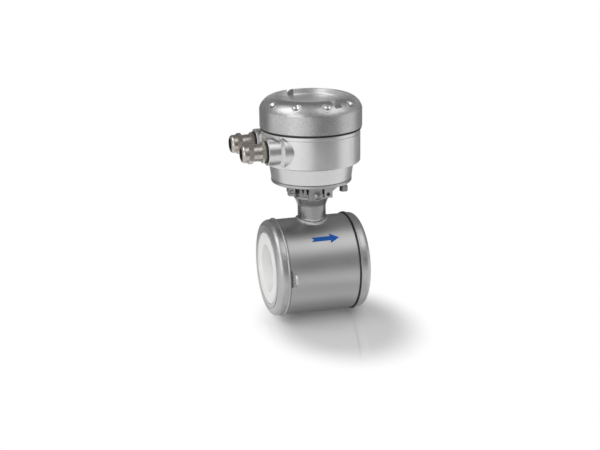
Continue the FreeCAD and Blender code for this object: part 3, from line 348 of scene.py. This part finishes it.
# %% [markdown]
# ## Rolled and turned steel
# The outer tube of the sensor is rolled from sheet and ground while it turns, and the end
# rings are turned on a lathe. Both tools leave lines around the pipe axis. The place of a
# line depends on x and on the distance from the axis. The turn around the axis comes in
# only a little, through y and z divided by that distance, so a line runs for a few
# centimetres and then fades, and there is no seam where the circle closes.

# %% Ground steel
LINE_BREAKS = 9.0


def ground_steel(name, level, rough, lines=1400.0, depth=0.12, spread=0.04, wander=0.0):
    """Metal with fine lines around X, `lines` to the metre, from a noise at x + radius and at
    the turn times LINE_BREAKS. `wander` adds a slow unevenness, as a rolled edge has."""
    f = Finish(name)
    x, y, z = f.parts(f.where())
    radius = (y * y + z * z) ** 0.5
    along = f.node("CombineXYZ", X=(x + radius) * lines, Y=y / radius * LINE_BREAKS,
                   Z=z / radius * LINE_BREAKS)
    line = f.noise(along, 1.0, 2.0, 0.6)
    cloud = f.noise(f.where(), 32.0, 3.0, 0.55)
    shade = 0.5 + 0.8 * (cloud - 0.5) + 0.5 * (line - 0.5)
    colour = f.blend(shade, grey(level * (1 - spread)), grey(level * (1 + spread)))
    height = line
    if wander:
        height = line + wander * f.noise(f.where(), 170.0, 2.0, 0.5)
    return f.done(Base_Color=colour, Metallic=1.0, Roughness=rough + 0.10 * (cloud - 0.5),
                  Normal=f.bump(height, depth, FINE_RELIEF))


shell_steel = ground_steel("shell_ground_steel", 0.47, 0.42)
ring_steel = ground_steel("ring_turned_steel", 0.49, 0.38, lines=700.0, depth=0.8, spread=0.14,
                          wander=5.0)
print("rolled and turned", shell_steel.name, ring_steel.name)

# %% [markdown]
# ## The neck and its weld
# The neck is a satin tube welded onto the drum; its grey is set low as painted shade for the
# shade under the box. A hand-made weld cools in small half moons that lie on each other like
# fallen coins. They are a wave along the way around the neck, bent by a little noise so that
# no two are alike, and only near the foot of the tube, where the grey is made paler as a
# painted highlight on the bead.

# %% Neck steel
shell_low, shell_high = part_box("sensor_shell")
shell_radius = (shell_high.z - shell_low.z) / 2
WELD_COINS = 64.0
WELD_EDGE = (0.0537, 0.0549)


def welded_steel(name, level, rough):
    """Satin metal. Below WELD_EDGE a sine of the turn around Z times WELD_COINS, shifted by
    the cloud, ripples the weld, and the weld's grey is made paler as a painted highlight."""
    f = Finish(name)
    place = f.where()
    x, y, z = f.parts(place)
    cloud = f.noise(place, 60.0, 3.0, 0.6)
    grit = f.noise(place, 1600.0, 2.0, 0.6)
    turn = f.node("Math", {"operation": "ARCTAN2"}, sockets=(y, x))
    wave = f.node("Math", {"operation": "SINE"}, sockets=(turn * WELD_COINS + 7.0 * cloud,))
    weld = 1.0 - f.ease(z, *WELD_EDGE)
    shade = 0.5 + 0.9 * (cloud - 0.5) + 0.5 * (grit - 0.5)
    colour = f.blend(shade, grey(level * 0.88), grey(level * 1.12))
    # The weld is blended towards a pale grey, a painted highlight.
    colour = f.blend(0.6 * weld, colour, grey(0.64))
    height = 0.35 * grit + weld * (1.2 * wave + 3.0 * cloud)
    return f.done(Base_Color=colour, Metallic=1.0, Roughness=rough + 0.10 * (cloud - 0.5),
                  Normal=f.bump(height, 0.4, 0.00025))


# The neck's low grey is painted shade.
neck_steel = welded_steel("neck_satin_steel", 0.31, 0.27)
print("neck", neck_steel.name, "on a shell of radius", round(shell_radius, 4))

# %% [markdown]
# ## Nickel, bright screws and iron
# The cable glands are brass with a nickel plate. Nickel mirrors more sharply than blasted
# steel and is a little warmer. Screws are drawn from bright wire. The yoke and the pole
# pieces inside are soft iron with a dull grey skin.

# %% Plated and bright metal


def plated_metal(name, level, rough, warm=0.0, spread=0.06):
    """Smooth metal with small spots in the roughness and faint dents from handling."""
    f = Finish(name)
    place = f.where()
    spots = f.noise(place, 420.0, 3.0, 0.6)
    dents = f.noise(place, 260.0, 1.0, 0.4)
    colour = f.blend(spots, grey(level * (1 - spread), warm), grey(level * (1 + spread), warm))
    return f.done(Base_Color=colour, Metallic=1.0, Roughness=rough + 0.12 * (spots - 0.5),
                  Normal=f.bump(dents, 0.12, 0.0002))


gland_nickel = plated_metal("nickel_plate", 0.47, 0.28, warm=0.08)
bright_steel = plated_metal("drawn_steel", 0.32, 0.22)
electrode_metal = plated_metal("electrode_alloy", 0.60, 0.18, warm=0.02)
soft_iron = blasted_steel("dull_iron", 0.30, 0.48, grain=900.0)
print("plated", gland_nickel.name, bright_steel.name, electrode_metal.name, soft_iron.name)

# %% [markdown]
# ## Ceramic, rubber and plastics
# These reflect only a little, so their own colour is what one sees. The measuring tube is
# a fired oxide ceramic: white, matt, with a dry grain. Light goes a few millimetres into
# it, so its bore is pale all the way in. A mottle of a few percent in the colour and a small
# change of roughness are enough to take the plastic look away.

# %% Matt materials


def matt_solid(name, colour, rough, grain=900.0, depth=0.08, spread=0.06, **more):
    """Non-metal with a fine grain in its bump and a slight mottle in colour and roughness.
    Other inputs of the shader, such as Specular IOR Level, can be named as well."""
    f = Finish(name)
    place = f.where()
    cloud = f.noise(place, 55.0, 3.0, 0.6)
    grit = f.noise(place, grain, 2.0, 0.5)
    dark = tuple(c * (1 - spread) for c in colour) + (1.0,)
    light = tuple(min(1.0, c * (1 + spread)) for c in colour) + (1.0,)
    return f.done(Base_Color=f.blend(cloud, dark, light), Metallic=0.0,
                  Roughness=rough + 0.08 * (cloud - 0.5), Normal=f.bump(grit, depth, 0.00006),
                  **more)


ceramic = matt_solid("fired_ceramic", (0.90, 0.90, 0.885), 0.42, spread=0.02,
                     Subsurface_Weight=0.5, Subsurface_Radius=(1, 1, 1), Subsurface_Scale=0.004)
rubber = matt_solid("black_rubber", (0.010, 0.010, 0.011), 0.55, depth=0.2, spread=0.25)
sealant = matt_solid("sealant_grey", (0.17, 0.17, 0.17), 0.5, depth=0.2, spread=0.15)
cage_plastic = matt_solid("cage_plastic_black", (0.02, 0.02, 0.021), 0.4, spread=0.2)
potting = matt_solid("potting_resin", (0.03, 0.03, 0.03), 0.3, spread=0.2)
lead_sheath = matt_solid("lead_jacket", (0.10, 0.10, 0.11), 0.45, spread=0.2)
terminal_plastic = matt_solid("terminal_plastic", (0.42, 0.43, 0.43), 0.42, spread=0.05)
print("matt", ceramic.name, rubber.name, cage_plastic.name, terminal_plastic.name)

# %% [markdown]
# ## The coils and the circuit board
# Both are out of sight until the lid comes off or the drum is cut open, and still they get
# their own look. Copper wire lies in turns around the coil, so a sine of height and radius
# draws the wires. The board is green lacquer over copper tracks that show as faint ridges.

# %% Coil copper and board


def copper_winding(name, wires=1400.0):
    """Enamelled wire: ridges around Z from a sine of height plus radius."""
    f = Finish(name)
    x, y, z = f.parts(f.where())
    radius = (x * x + y * y) ** 0.5
    turns = f.node("Math", {"operation": "SINE"}, sockets=((z + radius) * (wires * math.tau),))
    return f.done(Base_Color=(0.50, 0.20, 0.08, 1.0), Metallic=1.0, Roughness=0.35,
                  Normal=f.bump(turns, 0.5, 0.0002))


def circuit_board(name, pitch=0.0042):
    """Green lacquer with tracks: narrow bands of x and y, on or off by a coarse noise."""
    f = Finish(name)
    place = f.where()
    x, y, z = f.parts(place)
    across = f.node("Math", {"operation": "PINGPONG"}, sockets=(x, pitch / 2))
    along = f.node("Math", {"operation": "PINGPONG"}, sockets=(y, pitch / 2))
    chosen = f.ease(f.noise(place, 90.0, 0.0), 0.48, 0.52)
    band = chosen * (1.0 - f.ease(across, 0.0004, 0.0006))
    band = band + (1.0 - chosen) * (1.0 - f.ease(along, 0.0004, 0.0006))
    colour = f.blend(band, (0.012, 0.10, 0.045, 1.0), (0.03, 0.20, 0.085, 1.0))
    return f.done(Base_Color=colour, Roughness=0.33, Normal=f.bump(band, 0.3, 0.00005))


coil_copper = copper_winding("enamelled_wire")
board_green = circuit_board("green_board")
print("inside", coil_copper.name, board_green.name)

# %% [markdown]
# ## Which finish goes on which piece
# The record names one material slot for each node, so one table from slot to finish dresses
# nearly all the CAD pieces. Seven differ from the rest of their slot and are named one by
# one: five castings under the box get lower greys, painted shade for the shadow of the box
# over them, the lug gets a higher grey, painted light, and the inlet's joint is closed with
# a grey sealant.

# %% Dress the CAD nodes
finish_of_slot = {
    "ceramic_white": ceramic, "shell_steel": shell_steel, "ring_steel": ring_steel,
    "neck_steel": neck_steel, "box_steel": box_steel, "lid_steel": lid_steel,
    "gland_nickel": gland_nickel, "fastener_steel": bright_steel, "rubber_black": rubber,
    "cage_plastic": cage_plastic, "soft_iron": soft_iron, "coil_copper": coil_copper,
    "electrode_metal": electrode_metal, "potting_black": potting, "lead_sheath": lead_sheath,
    "board_green": board_green, "terminal_grey": terminal_plastic,
}
finish_of_node = {
    "fork_bracket": plate_shade_steel, "earth_plate": plate_shade_steel,
    "base_plate": base_shade_steel, "clamp_ring": clamp_shade_steel, "neck_flange": flange_shade_steel,
    "bonding_lug": lug_light_steel, "ring_joint_seal_inlet": sealant,
}
slot_of_node = {part["node"]: part["material_slot"] for part in frame["record"]["subparts"]}
for name, piece in nodes.items():
    finish = finish_of_node.get(name, finish_of_slot[slot_of_node[name]])
    for slot in piece.material_slots:
        slot.material = finish
finishes = {slot.material.name for piece in nodes.values() for slot in piece.material_slots}
print("dressed", len(nodes), "CAD pieces in", len(finishes), "finishes")

# %% [markdown]
# ## The flow arrow
# A printed blue arrow shows the flow direction. Ink has almost no thickness, so it is a
# thin skin over the outer tube: a flat outline whose second direction becomes an angle
# around the pipe axis. A fine grid lets the skin follow the curve of the tube closely.

# %% Flow arrow
ARROW_START = -0.0115
ARROW_NECK = 0.0095
ARROW_TIP = 0.0196
ARROW_SHAFT = 0.0026
ARROW_HEAD = 0.0059
ARROW_NOTCH = 0.0030
ARROW_ANGLE = math.radians(42.5)
ARROW_SKIN = 0.00006
ARROW_STEP = 0.000001


def grid_mesh(name, grid, finish):
    """A smooth mesh from a grid of points, an array of rows, columns and x, y, z."""
    rows, columns = grid.shape[:2]
    index = np.arange(rows * columns).reshape(rows, columns)
    quads = np.stack([index[:-1, :-1], index[:-1, 1:], index[1:, 1:], index[1:, :-1]], axis=-1)
    mesh = bpy.data.meshes.new(name)
    mesh.from_pydata(grid.reshape(-1, 3).tolist(), [], quads.reshape(-1, 4).tolist())
    mesh.materials.append(finish)
    mesh.polygons.foreach_set("use_smooth", np.ones(len(mesh.polygons), bool))
    mesh.update()
    made = bpy.data.objects.new(name, mesh)
    scene.collection.objects.link(made)
    return made


def arrow_grid(rows=61, columns=17):
    """x runs from tail to tip and v from edge to edge. The half width is the shaft's up to
    the neck, then the head's, shrinking in a straight line to the tip. Two rows lie
    ARROW_STEP apart at the neck, so that the head starts square. Each point is then
    wrapped: its angle is the arrow's angle plus half width times v over the radius."""
    steps = np.linspace(0, 1, rows)
    x = ARROW_START + (ARROW_TIP - ARROW_START) * steps
    neck_row = np.searchsorted(x, ARROW_NECK)
    x[neck_row - 1] = ARROW_NECK - ARROW_STEP
    x[neck_row] = ARROW_NECK
    taper = (ARROW_TIP - x) / (ARROW_TIP - ARROW_NECK)
    half = np.where(x < ARROW_NECK, ARROW_SHAFT, ARROW_HEAD * taper)[:, None]
    v = np.linspace(-1, 1, columns)[None, :]
    tail = np.clip(1 - (x - ARROW_START) / (2 * ARROW_NOTCH), 0, 1)[:, None]
    x = x[:, None] + ARROW_NOTCH * (1 - np.abs(v)) * tail
    angle = ARROW_ANGLE + half * v / shell_radius
    radius = shell_radius + ARROW_SKIN
    return np.stack([x, -radius * np.sin(angle), radius * np.cos(angle)], axis=-1)


arrow_ink = matt_solid("arrow_blue", (0.003, 0.078, 0.33), 0.45, spread=0.04,
                       Specular_IOR_Level=0.2)
arrow = grid_mesh("flow_arrow", arrow_grid(), arrow_ink)
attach(arrow, "meter")
print("arrow", len(arrow.data.polygons), "faces")

# %% [markdown]
# ## The seal under the lid
# The rubber seal is wider than the gap it fills. When the lid is screwed down, the seal is
# squeezed out a little and hangs over the top edge of the drum as a soft bead. The bead is
# drawn thicker than that, as painted shade for the dark gap under the edge of the lid. The
# CAD solid stops at the gap, so this ring stands for it: a closed outline in radius and
# height, carried around Z.

# %% Lid seal
SEAL_INNER = 0.0493
SEAL_LOW = 0.1527
SEAL_HIGH = 0.1542
DRUM_RADIUS = 0.0525
BEAD_CLEAR = 0.00004
BEAD_REACH = 0.00115
BEAD_DROP = 0.0009
BEAD_EDGE = 0.0002
BEAD_FULLNESS = 0.6


def turned_ring(name, profile, finish, axis="Z", steps=180):
    """The outline, in radius and place along the axis, turns once around the axis: r cos(a)
    and r sin(a) are its two other coordinates. The last row and column repeat the first, and
    are merged with it to close the ring."""
    angle = np.linspace(0, math.tau, steps + 1)[None, :]
    closed = np.vstack([profile, profile[:1]])
    radius, along = closed[:, :1], closed[:, 1:] + 0 * angle
    turned = [radius * np.cos(angle), radius * np.sin(angle)]
    order = turned + [along] if axis == "Z" else [along] + turned
    made = grid_mesh(name, np.stack(order, axis=-1), finish)
    shell = bmesh.new()
    shell.from_mesh(made.data)
    bmesh.ops.remove_doubles(shell, verts=shell.verts, dist=1e-7)
    bmesh.ops.recalc_face_normals(shell, faces=shell.faces)
    shell.to_mesh(made.data)
    shell.free()
    return made


def seal_and_shade_profile(steps=24):
    """From the inner edge out to the drum's corner, down over it, around the bead and back
    along the lid's face. The bead is half a circle stretched upright: at the angle t its
    reach is cos(t) to the power of BEAD_FULLNESS, and its height goes with sin(t)."""
    inside = DRUM_RADIUS + BEAD_CLEAR
    lowest = SEAL_LOW - BEAD_DROP
    turn = np.linspace(-math.pi / 2, math.pi / 2, steps)
    middle, half = (lowest + SEAL_HIGH) / 2, (SEAL_HIGH - lowest) / 2
    reach = BEAD_EDGE + (BEAD_REACH - BEAD_EDGE) * np.cos(turn) ** BEAD_FULLNESS
    bulge = np.stack([inside + reach, middle + half * np.sin(turn)], axis=-1)
    start = np.array([[SEAL_INNER, SEAL_HIGH], [SEAL_INNER, SEAL_LOW], [inside, SEAL_LOW],
                      [inside, lowest + BEAD_EDGE / 2]])
    return np.vstack([start, bulge])


# A black rubber seal, drawn thick over the drum's edge as painted shade for the gap.
seal_and_shade_bead = turned_ring("lid_seal_and_shade_bead", seal_and_shade_profile(), rubber)
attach(seal_and_shade_bead, "lid_carrier")
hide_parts("lid_seal")
print("lid seal", len(seal_and_shade_bead.data.polygons), "faces")

# %% [markdown]
# ## The joint ring at the outlet
# Where the outer tube meets the outlet ring, a bead of black sealing rubber fills the
# corner. It is drawn over the whole face of the ring's lip, as painted shade for the dark
# step there. It leans against the lip of the ring and tapers onto the tube, so its outline
# is a quarter of an ellipse, turned around the pipe axis.

# %% Outlet joint ring
JOINT_CLEAR = 0.00002
JOINT_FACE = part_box("ring_joint_seal_outlet")[1].x - JOINT_CLEAR
JOINT_WIDTH = 0.0017
JOINT_RISE = 0.00125
JOINT_FLAT = 0.0003
JOINT_ROUND = 0.0001


def joint_and_shade_profile(steps=12):
    """Up the face of the lip, over a short flat, and down a quarter of an ellipse to the
    tube: at the angle t it is sin(t) high and cos(t) long, each times its half axis."""
    foot = shell_radius + JOINT_CLEAR
    turn = np.linspace(math.pi / 2, 0, steps)
    slope = np.stack([foot + JOINT_RISE * np.sin(turn),
                      JOINT_FACE - JOINT_FLAT - (JOINT_WIDTH - JOINT_FLAT) * np.cos(turn)],
                     axis=-1)
    lip = np.array([[foot, JOINT_FACE], [foot + JOINT_RISE - JOINT_ROUND, JOINT_FACE]])
    return np.vstack([lip, slope])


# Black rubber, drawn over the lip's face as painted shade for the step's shadow.
joint_and_shade_bead = turned_ring("outlet_joint_and_shade_bead", joint_and_shade_profile(), rubber, axis="X")
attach(joint_and_shade_bead, "meter")
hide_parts("ring_joint_seal_outlet")
print("outlet joint", len(joint_and_shade_bead.data.polygons), "faces")

# %% [markdown]
# ## The floor
# A white table that fades into a white background. Around the foot of the object it is a
# real surface with a soft gloss, so it takes the shadow and a blurred mirror image. Further
# out it turns into plain white for the rays that come from the camera, a mirror or glass,
# so no edge or horizon shows and no lamp has to be turned up for it.

# %% Floor
FLOOR_SIZE = 24.0
FLOOR_DROP = 0.0002
POOL_CENTRE = (0.016, -0.050, 0.0)
POOL_REACH = (0.084, 0.116)
POOL_FADE = (0.55, 1.15)
POOL_HAZE = 0.06
bpy.ops.mesh.primitive_plane_add(size=FLOOR_SIZE, location=(0, 0, cad_low.z - FLOOR_DROP))
floor = bpy.context.object
floor.name = "floor"


def sweep_white(name):
    """Soft gloss inside an oval around the foot, plain white outside it. The distance is 1
    on the oval. A share POOL_HAZE of white is there from the middle on, and the rest comes
    in over POOL_FADE."""
    f = Finish(name)
    x, y, z = f.parts(f.where((1 / POOL_REACH[0], 1 / POOL_REACH[1], 1), POOL_CENTRE))
    distance = (x * x + y * y) ** 0.5
    seen = f.node("LightPath", output="Is Camera Ray")
    seen = seen + f.node("LightPath", output="Is Glossy Ray")
    seen = seen + f.node("LightPath", output="Is Transmission Ray")
    plain = f.node("Emission", Color=(1, 1, 1, 1), Strength=1.0)
    table = Sock(f.tree, f.shader.outputs[0])
    far = seen * (POOL_HAZE + (1.0 - POOL_HAZE) * f.ease(distance, *POOL_FADE))
    mixed = f.node("MixShader", sockets=(far, table, plain))
    f.tree.links.new(mixed.socket, f.tree.nodes["Material Output"].inputs["Surface"])
    return f.done(Base_Color=grey(0.80), Roughness=0.05, IOR=2.8)


floor.data.materials.append(sweep_white("sweep_white"))
print("floor at z", round(floor.location.z, 4))

# %% [markdown]
# ## The room and the lamps
# Metal shows what stands around it, so the lamps are large soft boxes and the room is a
# plain grey. One box stands low at the left and draws the bright band on the lid and the
# drum. One hangs in front at the right and lights the shoulder and the tube from above. The
# third, high at the left, lights the ceramic face and the floor. A fourth looks into the
# bore, and mirrors don't see it, because the metal needs no further lamp.

# %% World and lamps
scene.view_settings.view_transform = "Standard"
ROOM_GREY = 0.38
world = bpy.data.worlds.new("studio")
scene.world = world
world.use_nodes = True
background = world.node_tree.nodes["Background"]
background.inputs["Color"].default_value = grey(ROOM_GREY)
background.inputs["Strength"].default_value = 1.0
MIDDLE = Vector((0.0, 0.0, 0.07))


def around(azimuth, elevation, distance):
    """Places on a sphere about the middle of the object, as an array of x, y, z. Azimuth 0
    is straight in front and grows to the right, elevation grows upwards, in degrees:
    x = d sin(a) cos(e), y = -d cos(a) cos(e), z = d sin(e)."""
    side, rise = np.radians(azimuth), np.radians(elevation)
    flat = distance * np.cos(rise)
    place = np.stack([flat * np.sin(side), -flat * np.cos(side), distance * np.sin(rise)], -1)
    return place + np.array(MIDDLE)


def softbox(name, azimuth, elevation, distance, size, brightness, in_mirrors=True):
    """An area lamp that looks at the object. At brightness 1 it shines as the plain white of
    the floor does, whatever its size: the power is pi times the area."""
    data = bpy.data.lights.new(name, "AREA")
    data.shape = "RECTANGLE"
    data.size, data.size_y = size
    data.energy = brightness * math.pi * size[0] * size[1]
    made = bpy.data.objects.new(name, data)
    made.location = around(azimuth, elevation, distance)
    made.rotation_euler = (MIDDLE - made.location).to_track_quat("-Z", "Y").to_euler()
    made.visible_camera = False
    made.visible_glossy = in_mirrors
    scene.collection.objects.link(made)
    return made


softbox("box_left", -52, 20, 1.15, (0.50, 0.80), 1.85)
softbox("box_left_top", -88, 52, 1.10, (0.70, 0.70), 2.2)
softbox("box_right", 48, 52, 1.20, (1.00, 0.90), 1.25)
softbox("box_bore", -30, 8, 1.00, (0.50, 0.50), 3.0, in_mirrors=False)
print("lamps", [lamp.name for lamp in bpy.data.lights])

# %% [markdown]
# ## Dark cards around the metal
# A studio for metal has dark cards as well as lamps. Without them a steel drum on a white
# table looks like paper: every part of it mirrors white. One card stands in front, three
# stand around the back to give the round shapes dark edges, and one hangs over the back.
# They are seen only in reflections, so they neither hide the object nor dim the light. Each
# is a patch of a sphere, with azimuth and elevation as its two parameters.

# %% Cards


def card(name, azimuths, elevations, distance, level):
    """A grey patch of a sphere about the object, between two azimuths and two elevations in
    degrees, at a distance in metres."""
    across, upright = np.meshgrid(np.linspace(*azimuths, 25), np.linspace(*elevations, 13))
    made = grid_mesh(name, around(across, upright, distance),
                     Finish(name).done(Base_Color=grey(level), Roughness=0.9))
    made.visible_camera = False
    made.visible_diffuse = False
    made.visible_transmission = False
    made.visible_shadow = False
    return made


card("card_front", (-14, 48), (-11, 30), 0.50, 0.45)
card("card_back_left", (-172, -112), (-23, 36), 0.30, 0.40)
card("card_back_right", (92, 150), (-23, 30), 0.30, 0.40)
card("card_behind", (150, 188), (-23, 26), 0.30, 0.20)
card("card_over_back", (110, 215), (32, 78), 0.80, 0.34)

# %% [markdown]
# ## The far wall
# From a low place the camera looks over the end of the table. A low white wall all around,
# 11 metres away, closes the view there. Metal mirrors it too, as it mirrors the table. It
# lights nothing dull, and it throws no shadow.

# %% Far wall
WALL_DISTANCE = 11.0
WALL_ELEVATIONS = (-1, 12)
across, upright = np.meshgrid(np.linspace(-180, 180, 97), np.linspace(*WALL_ELEVATIONS, 5))
glow = Finish("wall_white")
wall = grid_mesh("far_wall", around(across, upright, WALL_DISTANCE),
                 glow.done(Base_Color=(0, 0, 0, 1), Specular_IOR_Level=0.0,
                           Emission_Color=(1, 1, 1, 1), Emission_Strength=1.0))
wall.visible_diffuse = False
wall.visible_shadow = False
print("wall", len(wall.data.polygons), "faces")

# %% [markdown]
# ## The camera
# A long lens looks from a little above and to the left, so the drum shows its inlet face
# and the lid shows the recess in its top. The camera's three directions come from its
# azimuth and elevation, and a small roll then turns two of them about the third.

# %% Camera
AZIMUTH, ELEVATION, ROLL = map(math.radians, (-16.2905, 16.8149, -0.7357))
DISTANCE = 1.35856
TARGET = Vector((-0.013348, 0.0, 0.045075))
LENS_MM = 75.33
SENSOR_MM = 36.0
FARTHEST = 60.0
back = Vector((math.sin(AZIMUTH) * math.cos(ELEVATION), -math.cos(AZIMUTH) * math.cos(ELEVATION),
               math.sin(ELEVATION)))
level_right = (-back).cross(Vector((0, 0, 1))).normalized()
level_up = level_right.cross(-back)
right = level_right * math.cos(ROLL) + level_up * math.sin(ROLL)
up = level_up * math.cos(ROLL) - level_right * math.sin(ROLL)
camera_data = bpy.data.cameras.new("camera")
camera_data.sensor_width = SENSOR_MM
camera_data.lens = LENS_MM
camera_data.clip_end = FARTHEST
camera = bpy.data.objects.new("camera", camera_data)
turn = Matrix((right, up, back)).transposed()
camera.matrix_world = Matrix.Translation(TARGET + back * DISTANCE) @ turn.to_4x4()
scene.collection.objects.link(camera)
scene.camera = camera
print("camera at", camera.matrix_world.translation)

# %% [markdown]
# ## The end
